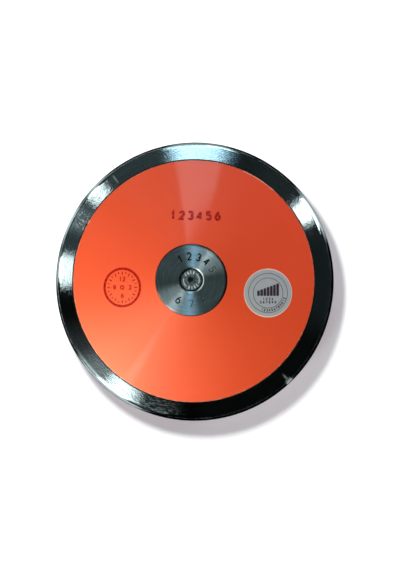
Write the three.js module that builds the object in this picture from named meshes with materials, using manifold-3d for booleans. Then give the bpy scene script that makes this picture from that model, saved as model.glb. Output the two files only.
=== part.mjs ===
// A two-kilogram throwing discus: a steel rim, two moulded side plates and a bolted steel centre.
// Lengths are in millimetres. Z is the axis of the discus, and the origin is its middle.
import * as THREE from "three";
import { mergeVertices } from "three/addons/utils/BufferGeometryUtils.js";
import Module from "manifold-3d";

const wasm = await Module();
wasm.setup();

// Outer form
const outerDiameter = 220;
const centreThickness = 45;
const noseRadius = 6.25; // of the round outer edge
const rimBandWidth = 14.9; // bare steel, from the outer edge in to the seam
const edgeBreak = 0.3; // broken corners on both sides of a seam

// Rim, under the edges of the side plates
const flangeWidth = 10.2; // from the seam in to the bore
const flangeBevel = 1;

// Side plates
const shellWall = 3; // square to the face
const landThickness = 3; // flat floor of the recess in the middle
const lipWidth = 2.2; // ring that drops into the rim's bore
const lipDepth = 5;
const ribWidth = 1.8;
const ribDepth = 4;
const ringRibDepth = 3;
const rootBevel = 2.5; // under the face, round the recess
const spokeRibs = 12;
const ringRibShares = [0.36, 0.7]; // of the way from the recess to the lip

// Centre plates
const centrePlateDiameter = 56;
const centrePlateThickness = 5;
const spigotDiameter = 23.4; // locates the plate in the side plate's land
const spigotLength = 3;
const centrePlateBevel = 0.4;

// Countersunk socket screws
const screwDiameter = 8;
const headDiameter = 16;
const headLand = 0.96; // straight stretch at the top of the head
const headRecess = 0.5; // top of the head below the face of the discus
const socketAcrossFlats = 5;
const socketDepth = 3;
const screwTipSpace = 4; // between the tips of the two screws
const screwTipBevel = 1;
const headEdge = 0.4;

// Hub core and trim washers
const neckDiameter = 18; // ends of the core, where the washers sit
const waistDiameter = 22;
const shoulderThickness = 3;
const landSupport = 3; // how far the shoulder reaches out under the land
const waistBevel = 2;
const neckBevel = 0.5;
const washersPerSide = 2;
const washerThickness = 1.5;

// Clearances
const seamGap = 0.3; // round a part let into another
const seatGap = 0.3; // between faces that clamp, square to them
const stackGap = 0.1; // between flat faces stacked along the axis
const threadGap = 0.3; // round the shank of a screw
const countersinkGap = 0.15; // square to the screw head's cone
const overrun = 1; // how far a cutter stands out of what it cuts
const weld = 0.0001; // points closer than this are one

// Facets
const wideSteps = 64;
const centreSteps = 48;
const smallSteps = 36;
const arcDivisions = 6;

// Finishes
const rimSteel = { color: 0x9aa0a2, roughness: 0.24, metalness: 1 };
const orangePlastic = { color: 0xde5a37, roughness: 0.38, metalness: 0 };
const turnedSteel = { color: 0x6f7f82, roughness: 0.34, metalness: 1 };
const blackedSteel = { color: 0x2c3134, roughness: 0.42, metalness: 1 };
const greySteel = { color: 0x8b8f92, roughness: 0.5, metalness: 1 };

// Taper of the faces: a straight line from the edge of the flat centre, tangent to the round nose.
const outerRadius = outerDiameter / 2;
const halfThickness = centreThickness / 2;
const flatRadius = centrePlateDiameter / 2;
const noseCentre = outerRadius - noseRadius;
const taperRun = noseCentre - flatRadius;
const taper =
  Math.atan2(halfThickness, taperRun) - Math.asin(noseRadius / Math.hypot(taperRun, halfThickness));

// Height of a face of the discus, or of a surface that lies a given depth square under it.
function faceHeight(radius, depth = 0) {
  return halfThickness - (radius - flatRadius) * Math.tan(taper) - depth / Math.cos(taper);
}

// Radii, from the edge inwards
const seamRadius = outerRadius - rimBandWidth;
const flangeBore = seamRadius - flangeWidth;
const plateEdgeRadius = seamRadius - seamGap;
const lipOuterRadius = flangeBore - seamGap;
const lipInnerRadius = lipOuterRadius - lipWidth;
const recessRadius = flatRadius + seamGap;
const collarRadius = recessRadius + shellWall;
const spigotRadius = spigotDiameter / 2;
const landBore = spigotRadius + seamGap;
const shoulderRadius = landBore + landSupport;
const neckRadius = neckDiameter / 2;
const shankRadius = screwDiameter / 2;
const boltHole = shankRadius + threadGap;

// Heights, from the face down to the core
const centrePlateBottom = halfThickness - centrePlateThickness;
const landTop = centrePlateBottom - stackGap;
const landBottom = landTop - landThickness;
const spigotBottom = centrePlateBottom - spigotLength;
const neckTop = spigotBottom - stackGap;
const shoulderTop = landBottom - washersPerSide * (washerThickness + stackGap) - stackGap;
const headTop = halfThickness - headRecess;

// Turns a closed outline of radius and height round Z.
function turned(outline, steps) {
  const geometry = new THREE.LatheGeometry(outline.getPoints(arcDivisions), steps);
  return geometry.rotateX(Math.PI / 2);
}

// Extrudes an outline of radius and height to a given width, standing on a radius of the discus.
function standing(outline, width, angle) {
  const geometry = new THREE.ExtrudeGeometry(outline, { depth: width, bevelEnabled: false });
  return geometry
    .rotateX(Math.PI / 2)
    .translate(0, width / 2, 0)
    .rotateZ(angle);
}

// A closed geometry as a solid that can be joined and cut.
function solid(geometry) {
  geometry.deleteAttribute("normal");
  geometry.deleteAttribute("uv");
  const merged = mergeVertices(geometry, weld);
  const mesh = new wasm.Mesh({
    numProp: 3,
    vertProperties: merged.getAttribute("position").array,
    triVerts: new Uint32Array(merged.index.array),
  });
  return new wasm.Manifold(mesh);
}

// A joined or cut solid as a geometry again.
function geometryOf(body) {
  const mesh = body.getMesh();
  const geometry = new THREE.BufferGeometry();
  geometry.setAttribute("position", new THREE.BufferAttribute(mesh.vertProperties, 3));
  geometry.setIndex(new THREE.BufferAttribute(mesh.triVerts, 1));
  geometry.computeVertexNormals();
  return geometry;
}

function piece(name, geometry, finish) {
  const mesh = new THREE.Mesh(geometry, new THREE.MeshStandardMaterial(finish));
  mesh.name = name;
  return mesh;
}

// Steel rim: nose and two tapered bands outside, and a flange with a sloping ledge on each face.
function rimGeometry() {
  const ledgeDepth = shellWall + seatGap;
  const noseTurn = Math.PI / 2 - taper;
  const bevelRadius = flangeBore + flangeBevel;
  const bevelHeight = faceHeight(bevelRadius, ledgeDepth);
  const ledgeHeight = faceHeight(seamRadius, ledgeDepth);
  const breakHeight = faceHeight(seamRadius) - edgeBreak;
  const bandRadius = seamRadius + edgeBreak;
  const outline = new THREE.Shape();
  outline.moveTo(flangeBore, flangeBevel - bevelHeight);
  outline.lineTo(bevelRadius, -bevelHeight);
  outline.lineTo(seamRadius, -ledgeHeight);
  outline.lineTo(seamRadius, -breakHeight);
  outline.lineTo(bandRadius, -faceHeight(bandRadius));
  outline.absarc(noseCentre, 0, noseRadius, -noseTurn, noseTurn);
  outline.lineTo(bandRadius, faceHeight(bandRadius));
  outline.lineTo(seamRadius, breakHeight);
  outline.lineTo(seamRadius, ledgeHeight);
  outline.lineTo(bevelRadius, bevelHeight);
  outline.lineTo(flangeBore, bevelHeight - flangeBevel);
  outline.closePath();
  return turned(outline, wideSteps);
}

// Outline of a side plate's shell: tapered face, recess with a flat land, and the locating lip.
function shellOutline() {
  const lipTop = faceHeight(lipOuterRadius, shellWall);
  const lipBottom = lipTop - lipDepth;
  const seatBottom = faceHeight(plateEdgeRadius, shellWall);
  const breakRadius = plateEdgeRadius - edgeBreak;
  const bevelEnd = collarRadius + rootBevel;
  const bevelTop = faceHeight(bevelEnd, shellWall);
  const outline = new THREE.Shape();
  outline.moveTo(lipOuterRadius, lipTop);
  outline.lineTo(plateEdgeRadius, seatBottom);
  outline.lineTo(plateEdgeRadius, faceHeight(plateEdgeRadius) - edgeBreak);
  outline.lineTo(breakRadius, faceHeight(breakRadius));
  outline.lineTo(recessRadius, faceHeight(recessRadius));
  outline.lineTo(recessRadius, landTop);
  outline.lineTo(landBore, landTop);
  outline.lineTo(landBore, landBottom);
  outline.lineTo(collarRadius, landBottom);
  outline.lineTo(collarRadius, bevelTop - rootBevel);
  outline.lineTo(bevelEnd, bevelTop);
  outline.lineTo(lipInnerRadius, faceHeight(lipInnerRadius, shellWall));
  outline.lineTo(lipInnerRadius, lipBottom);
  outline.lineTo(lipOuterRadius, lipBottom);
  outline.closePath();
  return outline;
}

// A rib along a radius: from the recess's wall to the lip, rooted halfway into the shell.
function spokeRib(angle) {
  const inner = recessRadius + shellWall / 2;
  const outer = lipInnerRadius + lipWidth / 2;
  const outline = new THREE.Shape();
  outline.moveTo(inner, landBottom);
  outline.lineTo(collarRadius, landBottom);
  outline.lineTo(outer, faceHeight(outer, shellWall) - ribDepth);
  outline.lineTo(outer, faceHeight(outer, shellWall / 2));
  outline.lineTo(inner, faceHeight(inner, shellWall / 2));
  outline.closePath();
  return standing(outline, ribWidth, angle);
}

// A round rib at a share of the way from the recess to the lip.
function ringRib(share) {
  const inner = THREE.MathUtils.lerp(collarRadius, lipInnerRadius, share) - ribWidth / 2;
  const outer = inner + ribWidth;
  const bottom = faceHeight(outer, shellWall) - ringRibDepth;
  const outline = new THREE.Shape();
  outline.moveTo(inner, bottom);
  outline.lineTo(outer, bottom);
  outline.lineTo(outer, faceHeight(outer, shellWall / 2));
  outline.lineTo(inner, faceHeight(inner, shellWall / 2));
  outline.closePath();
  return turned(outline, wideSteps);
}

// Moulded side plate: the shell joined with its spoke and ring ribs.
function sidePlateGeometry() {
  let body = solid(turned(shellOutline(), wideSteps));
  for (let i = 0; i < spokeRibs; i++) {
    body = body.add(solid(spokeRib((2 * Math.PI * i) / spokeRibs)));
  }
  for (const share of ringRibShares) {
    body = body.add(solid(ringRib(share)));
  }
  return geometryOf(body);
}

// Turned centre plate: a disc with a spigot below and a right-angled countersink above.
function centrePlateGeometry() {
  const coneTopHeight = headTop - headLand;
  const coneOffset = countersinkGap * Math.SQRT2;
  const countersinkRadius = headDiameter / 2 + coneOffset + halfThickness - coneTopHeight;
  const countersinkBottom = halfThickness - (countersinkRadius - boltHole);
  const outline = new THREE.Shape();
  outline.moveTo(boltHole, spigotBottom);
  outline.lineTo(spigotRadius, spigotBottom);
  outline.lineTo(spigotRadius, centrePlateBottom);
  outline.lineTo(flatRadius, centrePlateBottom);
  outline.lineTo(flatRadius, halfThickness - centrePlateBevel);
  outline.lineTo(flatRadius - centrePlateBevel, halfThickness);
  outline.lineTo(countersinkRadius, halfThickness);
  outline.lineTo(boltHole, countersinkBottom);
  outline.closePath();
  return turned(outline, centreSteps);
}

// Countersunk screw with a hexagon socket.
function screwGeometry() {
  const headRadius = headDiameter / 2;
  const coneTop = headTop - headLand;
  const coneBottom = coneTop - (headRadius - shankRadius);
  const tip = screwTipSpace / 2;
  const outline = new THREE.Shape();
  outline.moveTo(0, tip);
  outline.lineTo(shankRadius - screwTipBevel, tip);
  outline.lineTo(shankRadius, tip + screwTipBevel);
  outline.lineTo(shankRadius, coneBottom);
  outline.lineTo(headRadius, coneTop);
  outline.lineTo(headRadius, headTop - headEdge);
  outline.lineTo(headRadius - headEdge, headTop);
  outline.lineTo(0, headTop);
  const socketRadius = socketAcrossFlats / Math.sqrt(3);
  const cutterLength = socketDepth + overrun;
  const cutter = new THREE.CylinderGeometry(socketRadius, socketRadius, cutterLength, 6);
  cutter.rotateX(Math.PI / 2);
  cutter.translate(0, 0, headTop - socketDepth + cutterLength / 2);
  return geometryOf(solid(turned(outline, smallSteps)).subtract(solid(cutter)));
}

// Hub core: a spool bored and tapped right through, with a neck and a shoulder at each end.
function hubCoreGeometry() {
  const shoulderBottom = shoulderTop - shoulderThickness;
  const waistRadius = waistDiameter / 2;
  const outline = new THREE.Shape();
  outline.moveTo(boltHole, -neckTop);
  outline.lineTo(neckRadius - neckBevel, -neckTop);
  outline.lineTo(neckRadius, neckBevel - neckTop);
  outline.lineTo(neckRadius, -shoulderTop);
  outline.lineTo(shoulderRadius, -shoulderTop);
  outline.lineTo(shoulderRadius, -shoulderBottom);
  outline.lineTo(waistRadius, waistBevel - shoulderBottom);
  outline.lineTo(waistRadius, shoulderBottom - waistBevel);
  outline.lineTo(shoulderRadius, shoulderBottom);
  outline.lineTo(shoulderRadius, shoulderTop);
  outline.lineTo(neckRadius, shoulderTop);
  outline.lineTo(neckRadius, neckTop - neckBevel);
  outline.lineTo(neckRadius - neckBevel, neckTop);
  outline.lineTo(boltHole, neckTop);
  outline.closePath();
  return turned(outline, smallSteps);
}

// Trim washer: a flat ring on the core's neck, counted from the shoulder up.
function washerGeometry(number) {
  const bottom = shoulderTop + stackGap + (number - 1) * (washerThickness + stackGap);
  const bore = neckRadius + seamGap;
  const outline = new THREE.Shape();
  outline.moveTo(bore, bottom);
  outline.lineTo(shoulderRadius, bottom);
  outline.lineTo(shoulderRadius, bottom + washerThickness);
  outline.lineTo(bore, bottom + washerThickness);
  outline.closePath();
  return turned(outline, smallSteps);
}

// Everything that one face of the discus adds to the rim and the core.
function faceGroup(face) {
  const group = new THREE.Group();
  group.add(piece(`${face}_side_plate`, sidePlateGeometry(), orangePlastic));
  group.add(piece(`${face}_centre_plate`, centrePlateGeometry(), turnedSteel));
  group.add(piece(`${face}_screw`, screwGeometry(), blackedSteel));
  for (let number = 1; number <= washersPerSide; number++) {
    group.add(piece(`${face}_trim_washer_${number}`, washerGeometry(number), greySteel));
  }
  return group;
}

const discus = new THREE.Group();
discus.add(piece("rim", rimGeometry(), rimSteel));
discus.add(piece("hub_core", hubCoreGeometry(), greySteel));
discus.add(faceGroup("front"));
const back = faceGroup("back");
back.rotation.x = Math.PI;
discus.add(back);

export default discus;
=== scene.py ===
import math

import bmesh
import bpy
from mathutils import Matrix, Vector


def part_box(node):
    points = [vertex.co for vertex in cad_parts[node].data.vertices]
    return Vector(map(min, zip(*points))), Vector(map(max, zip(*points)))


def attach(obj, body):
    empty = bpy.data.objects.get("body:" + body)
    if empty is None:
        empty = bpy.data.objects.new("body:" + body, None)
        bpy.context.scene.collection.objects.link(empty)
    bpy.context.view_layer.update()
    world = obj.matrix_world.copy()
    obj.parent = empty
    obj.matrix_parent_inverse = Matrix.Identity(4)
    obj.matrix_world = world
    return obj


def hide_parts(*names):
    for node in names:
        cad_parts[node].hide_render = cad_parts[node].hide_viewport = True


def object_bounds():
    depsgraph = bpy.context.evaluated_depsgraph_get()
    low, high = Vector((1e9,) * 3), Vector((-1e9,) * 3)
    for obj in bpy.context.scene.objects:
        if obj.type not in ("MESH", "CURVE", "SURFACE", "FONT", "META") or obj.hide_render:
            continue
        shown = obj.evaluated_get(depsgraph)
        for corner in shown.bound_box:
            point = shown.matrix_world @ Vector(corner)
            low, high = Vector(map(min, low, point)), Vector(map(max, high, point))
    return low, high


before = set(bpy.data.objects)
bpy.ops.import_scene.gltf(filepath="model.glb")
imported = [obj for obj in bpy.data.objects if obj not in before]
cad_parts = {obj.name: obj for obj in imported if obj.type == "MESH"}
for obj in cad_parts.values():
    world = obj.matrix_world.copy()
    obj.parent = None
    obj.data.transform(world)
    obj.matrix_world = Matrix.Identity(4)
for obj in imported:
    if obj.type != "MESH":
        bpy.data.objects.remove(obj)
cad_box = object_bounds()


# Rim: one ring of steel, turned all over, with a round nose and a tapered band on each face.
# A flange inside it, hidden under the side plates, has a sloping ledge for each of them.
# The bands are polished on the lathe, which leaves fine lines, and use has scratched and scuffed them.
# Their colour also holds painted light: a painted dark reflection on the nose, painted shade at
# the seam, and a painted glint at the lower right with a painted streak running in from it.
MM = 0.001
OUTER_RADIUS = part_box("rim")[1].x
HALF_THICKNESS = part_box("front_centre_plate")[1].z
FLAT_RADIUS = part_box("front_centre_plate")[1].x
NOSE_RADIUS = 6.25 * MM
RIM_BAND_WIDTH = 14.9 * MM
FLANGE_WIDTH = 10.2 * MM
FLANGE_BEVEL = 1.0 * MM
SHELL_WALL = 3.0 * MM
SEAM_GAP = 0.3 * MM
SEAM_LINE = 0.12 * MM
SEAM_EDGE = 0.3 * MM
ROUND_STEPS = 360
NOSE_STEPS = 44
EDGE_STEPS = 4
HOLD = 0.2 * MM
TOUCH = 0.0001 * MM
CREASE = math.radians(28)
STEEL_LIGHT = (0.56, 0.66, 0.67, 1.0)
STEEL_DARK = (0.27, 0.33, 0.34, 1.0)
# The nose's outer part is painted near black, as a painted reflection of dark surroundings.
PAINTED_DARK_REFLECTION_STEEL = (0.006, 0.007, 0.007, 1.0)
PAINTED_DARK_REFLECTION_HEIGHT = 4.6 * MM
# Painted shade in a dark band along the rim's inner edge at the seam.
PAINTED_SEAM_SHADE = (0.003, 0.003, 0.003, 1.0)
SEAM_SHADE_WIDTH = 0.9 * MM
STEEL_EDGE_TINT = (0.05, 0.06, 0.06, 1.0)
SCUFFED_STEEL = (0.060, 0.075, 0.068, 1.0)
SCUFFED_AZIMUTH = 260
# A painted glint on the nose at the lower right: a pale, less metallic colour that the lamp lights.
GLINT_AND_WEAR_STEEL = (0.72, 0.78, 0.74, 1.0)
PAINTED_GLINT_AZIMUTH = 313.8
PAINTED_GLINT_MIDDLE = 107.1
PAINTED_GLINT_END = 109.4
BRIGHT_SCUFF_AZIMUTH = 151.5
# Each bright line across the front band: azimuth in degrees, radii of its ends in millimetres,
# share. The first is the painted streak of the painted glint, the second a scratch.
GLINT_STREAK_AND_SCRATCHES = ((PAINTED_GLINT_AZIMUTH, 101.8, 110.0, 0.35), (127.4, 98.2, 105.0, 0.28))
# Each place where the nose is left without its painted dark reflection, so that it mirrors the
# light: azimuth and half width in degrees, share.
NOSE_LEFT_UNPAINTED = ((29, 10, 0.9), (88, 12, 0.4), (136, 5, 0.9), (155, 8, 0.9), (175, 7, 0.6), (232, 17, 1.0))

NOSE_CENTRE = OUTER_RADIUS - NOSE_RADIUS
TAPER = math.atan2(HALF_THICKNESS, NOSE_CENTRE - FLAT_RADIUS) - math.asin(
    NOSE_RADIUS / math.hypot(NOSE_CENTRE - FLAT_RADIUS, HALF_THICKNESS)
)
SEAM_RADIUS = OUTER_RADIUS - RIM_BAND_WIDTH
FLANGE_BORE = SEAM_RADIUS - FLANGE_WIDTH


def face_height(radius, depth=0.0):
    """Height of the discus's face, or of a surface a given depth square under it."""
    return HALF_THICKNESS - (radius - FLAT_RADIUS) * math.tan(TAPER) - depth / math.cos(TAPER)


def arc(centre_radius, centre_height, radius, start, end, steps):
    """A round stretch of an outline, as points of radius and height."""
    turns = [start + (end - start) * i / steps for i in range(steps + 1)]
    return [
        (centre_radius + radius * math.cos(t), centre_height + radius * math.sin(t)) for t in turns
    ]


def rounded(corners):
    """An outline of (radius, height, rounding) corners, with each rounding turned into an arc.
    A point is held on the straight beside each end of an arc, which keeps the faces there flat."""
    points = []
    for i, (x, y, rounding) in enumerate(corners):
        here = Vector((x, y))
        if not rounding:
            points.append((x, y))
            continue
        before = (Vector(corners[i - 1][:2]) - here).normalized()
        after = (Vector(corners[(i + 1) % len(corners)][:2]) - here).normalized()
        half_angle = before.angle(after) / 2
        centre = here + (before + after).normalized() * rounding / math.sin(half_angle)
        first = here + before * rounding / math.tan(half_angle) - centre
        last = here + after * rounding / math.tan(half_angle) - centre
        sweep = first.angle_signed(last)
        points.append(tuple(centre + first + before * HOLD))
        for step in range(EDGE_STEPS + 1):
            spoke = Matrix.Rotation(-sweep * step / EDGE_STEPS, 2) @ first
            points.append(tuple(centre + spoke))
        points.append(tuple(centre + last + after * HOLD))
    return points


def station(form, outline, turn):
    """The points of an outline of radius and height, set into a bmesh at a turn round Z."""
    return [form.verts.new((r * math.cos(turn), r * math.sin(turn), z)) for r, z in outline]


def skinned(form, rings, closed):
    """Faces between neighbouring rings of points, which close a circle or end in two caps.
    There are none where a ring and the next one share an edge, as on the axis."""
    for step in range(len(rings) if closed else len(rings) - 1):
        ring, following = rings[step], rings[(step + 1) % len(rings)]
        for i, vert in enumerate(ring):
            j = (i + 1) % len(ring)
            if vert.co != following[i].co or ring[j].co != following[j].co:
                form.faces.new((vert, ring[j], following[j], following[i]))
    if not closed:
        form.faces.new(rings[0])
        form.faces.new(reversed(rings[-1]))
    return form


def turned(outline, steps):
    """A bmesh turned round Z from a closed outline of radius and height."""
    form = bmesh.new()
    turns = [2 * math.pi * step / steps for step in range(steps)]
    skinned(form, [station(form, outline, turn) for turn in turns], True)
    bmesh.ops.remove_doubles(form, verts=form.verts, dist=TOUCH)
    return form


def creased(form, mesh):
    """Writes a bmesh to a mesh, smooth except where faces meet at a crease."""
    bmesh.ops.recalc_face_normals(form, faces=form.faces)
    for face in form.faces:
        face.smooth = True
    for edge in form.edges:
        edge.smooth = len(edge.link_faces) != 2 or edge.calc_face_angle() < CREASE
    form.to_mesh(mesh)
    form.free()


def made(name, form):
    """An object of a bmesh, in the scene."""
    piece = bpy.data.objects.new(name, bpy.data.meshes.new(name))
    bpy.context.scene.collection.objects.link(piece)
    creased(form, piece.data)
    return piece


class Socket:
    """An output of a shader node, on which plain sums add Math nodes."""

    def __init__(self, finish, output):
        self.finish = finish
        self.output = output

    def math(self, operation, *values):
        return self.finish.add("ShaderNodeMath", {"operation": operation}, dict(enumerate(values)))

    def __add__(self, other):
        return self.math("ADD", self, other)

    def __sub__(self, other):
        return self.math("SUBTRACT", self, other)

    def __rsub__(self, other):
        return self.math("SUBTRACT", other, self)

    def __mul__(self, other):
        return self.math("MULTIPLY", self, other)

    def __pow__(self, other):
        return self.math("POWER", self, other)

    __radd__ = __add__
    __rmul__ = __mul__

    def between(self, low, high):
        """Rises smoothly from 0 at low to 1 at high, or falls where low is the higher."""
        return self.finish.add(
            "ShaderNodeMapRange",
            {"interpolation_type": "SMOOTHSTEP"},
            {"Value": self, "From Min": low, "From Max": high},
        )


class Finish:
    """The node tree of a material or the world."""

    def __init__(self, tree):
        self.tree = tree
        tree.nodes.clear()

    def add(self, kind, settings, inputs, output=0):
        """Adds one node: settings first, then the values or links of its sockets."""
        node = self.tree.nodes.new(kind)
        for name, value in settings.items():
            setattr(node, name, value)
        for name, value in inputs.items():
            if isinstance(value, Socket):
                self.tree.links.new(value.output, node.inputs[name])
            else:
                node.inputs[name].default_value = value
        return Socket(self, node.outputs[output]) if node.outputs else None

    def scaled(self, vector, factor):
        settings = {"operation": "SCALE"}
        return self.add("ShaderNodeVectorMath", settings, {0: vector, "Scale": factor})

    def vector(self, operation, *values, output=0):
        return self.add(
            "ShaderNodeVectorMath", {"operation": operation}, dict(enumerate(values)), output
        )

    def mix(self, factor, first, second, blend="MIX"):
        settings = {"data_type": "RGBA", "blend_type": blend}
        return self.add("ShaderNodeMix", settings, {0: factor, 6: first, 7: second}, 2)

    def noise(self, place, scale, detail=2.0, roughness=0.5):
        inputs = {"Vector": place, "Scale": scale, "Detail": detail, "Roughness": roughness}
        return self.add("ShaderNodeTexNoise", {}, inputs)

    def place(self):
        return self.add("ShaderNodeTexCoord", {}, {}, "Object")

    def axis(self, place, name):
        return self.add("ShaderNodeSeparateXYZ", {}, {0: place}, name)

    def polar(self):
        """The direction round the axis, the radius and the height, in millimetres."""
        place = self.scaled(self.place(), 1 / MM)
        flat = self.vector("MULTIPLY", place, (1.0, 1.0, 0.0))
        radius = self.vector("LENGTH", flat, output="Value")
        return self.vector("NORMALIZE", flat), radius, self.axis(place, "Z")

    def drawn_round(self, polar, around, across, detail=2.0, offset=0.0):
        """Noise drawn out round the axis: so many waves in a turn, so many in a millimetre."""
        direction, radius, height = polar
        rise = self.add("ShaderNodeCombineXYZ", {}, {"Z": (radius - height) * across + offset})
        return self.noise(self.vector("ADD", self.scaled(direction, around), rise), 1.0, detail)

    def sector(self, direction, azimuth, half_width, softness):
        """1 within a sector round the axis and 0 outside it, all three in degrees."""
        turn = math.radians(azimuth)
        middle = (math.cos(turn), math.sin(turn), 0.0)
        along = self.vector("DOT_PRODUCT", direction, middle, output="Value")
        away = along.math("ARCCOSINE", along) * math.degrees(1)
        return away.between(half_width + softness, half_width - softness)

    def bump(self, height, depth, strength=1.0):
        """A relief of so many millimetres where the height goes from 0 to 1."""
        inputs = {"Height": height, "Distance": depth * MM, "Strength": strength}
        return self.add("ShaderNodeBump", {}, inputs)

    def surface(self, sockets):
        """The Principled shader with the given sockets, joined to the output."""
        shader = self.add("ShaderNodeBsdfPrincipled", {}, sockets)
        self.add("ShaderNodeOutputMaterial", {}, {"Surface": shader})


def material(name):
    """A new material and its node tree."""
    made_of = bpy.data.materials.new(name)
    made_of.use_nodes = True
    return made_of, Finish(made_of.node_tree)


def dressed(piece, finish, slot, *replaced):
    """Gives a piece its material, hangs it on the root body and hides the frame's parts that it
    replaces.
    """
    piece.data.materials.clear()
    piece.data.materials.append(finish)
    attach(piece, "root")
    if replaced:
        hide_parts(*replaced)


def rim_outline():
    ledge_depth = SHELL_WALL + SEAM_GAP
    bevel_radius = FLANGE_BORE + FLANGE_BEVEL
    bevel_height = face_height(bevel_radius, ledge_depth)
    half = [
        (FLANGE_BORE, bevel_height - FLANGE_BEVEL, 0),
        (bevel_radius, bevel_height, 0),
        (SEAM_RADIUS, face_height(SEAM_RADIUS, ledge_depth), 0),
        (SEAM_RADIUS, face_height(SEAM_RADIUS), SEAM_EDGE),
    ]
    turn = math.pi / 2 - TAPER
    nose = [(r, z, 0) for r, z in arc(NOSE_CENTRE, 0, NOSE_RADIUS, turn, -turn, NOSE_STEPS)]
    half.append((nose[0][0] - HOLD, face_height(nose[0][0] - HOLD), 0))
    mirrored = [(r, -z, rounding) for r, z, rounding in reversed(half)]
    return rounded(half + nose + mirrored)


def rim_finish():
    steel, finish = material("rim_steel")
    polar = finish.polar()
    direction, radius, height = polar
    lines = finish.drawn_round(polar, 3.0, 4.0, 4.0)
    streaks = finish.drawn_round(polar, 12.0, 1.1, 3.0, 20.0)
    mottle = finish.drawn_round(polar, 70.0, 1.3, 3.0, 40.0)
    grain = finish.drawn_round(polar, 55.0, 2.0, 2.0, 60.0)
    shade = lines.between(0.25, 0.75) * 0.3 + streaks.between(0.3, 0.7) * 0.3
    clean = finish.mix(shade + grain.between(0.36, 0.64) * 0.4, STEEL_DARK, STEEL_LIGHT)
    flecks = finish.drawn_round(polar, 24.0, 1.3, 3.0, 80.0)
    scuffed = finish.sector(direction, SCUFFED_AZIMUTH, 13, 2) * flecks.between(0.60, 0.46)
    clean = finish.mix(scuffed, clean, SCUFFED_STEEL)
    # Painted dark reflection on the nose, left off at the listed places where the nose mirrors the
    # light.
    level = (height * height) ** 0.5 + streaks * 0.8
    nose = level.between(PAINTED_DARK_REFLECTION_HEIGHT / MM + 0.8, PAINTED_DARK_REFLECTION_HEIGHT / MM + 0.2)
    nose = nose * radius.between(NOSE_CENTRE / MM, NOSE_CENTRE / MM + 2)
    for azimuth, half_width, share in NOSE_LEFT_UNPAINTED:
        nose = nose * (1.0 - finish.sector(direction, azimuth, half_width, 5) * share)
    # Painted shade along the seam.
    seam_shade = radius.between((SEAM_RADIUS + SEAM_SHADE_WIDTH) / MM, (SEAM_RADIUS + SEAM_SHADE_WIDTH) / MM - 0.4)
    colour = finish.mix(seam_shade, finish.mix(nose, clean, PAINTED_DARK_REFLECTION_STEEL), PAINTED_SEAM_SHADE)
    # A painted glint on the nose and a painted streak running in from it, with a scratch and a scuff.
    glint_and_wear = finish.sector(direction, PAINTED_GLINT_AZIMUTH, 1.4, 0.6)
    glint_and_wear = glint_and_wear * radius.between(PAINTED_GLINT_MIDDLE - 1.5, PAINTED_GLINT_MIDDLE + 1.5)
    glint_and_wear = glint_and_wear * radius.between(PAINTED_GLINT_END + 0.2, PAINTED_GLINT_END - 0.2)
    for azimuth, start, end, share in GLINT_STREAK_AND_SCRATCHES:
        scratch = finish.sector(direction, azimuth, 0.4, 0.4) * radius.between(start - 1.3, start + 1.2)
        glint_and_wear = glint_and_wear.math("MAXIMUM", glint_and_wear, scratch * radius.between(end + 1.0, end - 1.5) * share)
    scuff = finish.sector(direction, BRIGHT_SCUFF_AZIMUTH, 4.5, 3.5) * mottle.between(0.5, 0.6)
    glint_and_wear = glint_and_wear.math("MAXIMUM", glint_and_wear, scuff * 0.7)
    glint_and_wear = glint_and_wear * height.between(0.0, 1.0) * grain.between(0.25, 0.6)
    relief = lines * 0.2 + streaks * 0.3 + mottle * 0.6
    finish.surface(
        {
            "Base Color": finish.mix(glint_and_wear, colour, GLINT_AND_WEAR_STEEL),
            "Metallic": 1.0 - glint_and_wear * 0.8,
            "Roughness": 0.07 + lines * 0.04 + nose * 0.1 + seam_shade * 0.3,
            "Specular Tint": STEEL_EDGE_TINT,
            "Anisotropic": 0.9,
            "Anisotropic Rotation": 0.25,
            "Normal": finish.bump(relief, 0.05),
        }
    )
    return steel


rim = made("rim_turned", turned(rim_outline(), ROUND_STEPS))
dressed(rim, rim_finish(), "rim_steel", "rim")


# Hub core and trim washers: the turned spool that both screws hold, and the thin rings on its
# necks that bring the discus to its weight. They are plain turned steel, shut in by the plates,
# and keep the frame's own solids.
CORE_STEEL_LIGHT = (0.46, 0.47, 0.47, 1.0)
CORE_STEEL_DARK = (0.27, 0.28, 0.28, 1.0)


def core_finish():
    steel, finish = material("core_steel")
    polar = finish.polar()
    lines = finish.drawn_round(polar, 2.0, 5.0, 3.0)
    oil = finish.noise(finish.place(), 180.0, 3.0)
    finish.surface(
        {
            "Base Color": finish.mix(lines * 0.6 + oil * 0.4, CORE_STEEL_DARK, CORE_STEEL_LIGHT),
            "Metallic": 1.0,
            "Roughness": 0.34 + oil * 0.18,
            "Anisotropic": 0.6,
            "Anisotropic Rotation": 0.25,
            "Normal": finish.bump(lines, 0.015),
        }
    )
    return steel


core_steel = core_finish()
for name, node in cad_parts.items():
    if name == "hub_core" or "trim_washer" in name:
        for place in node.material_slots:
            place.material = core_steel


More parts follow.
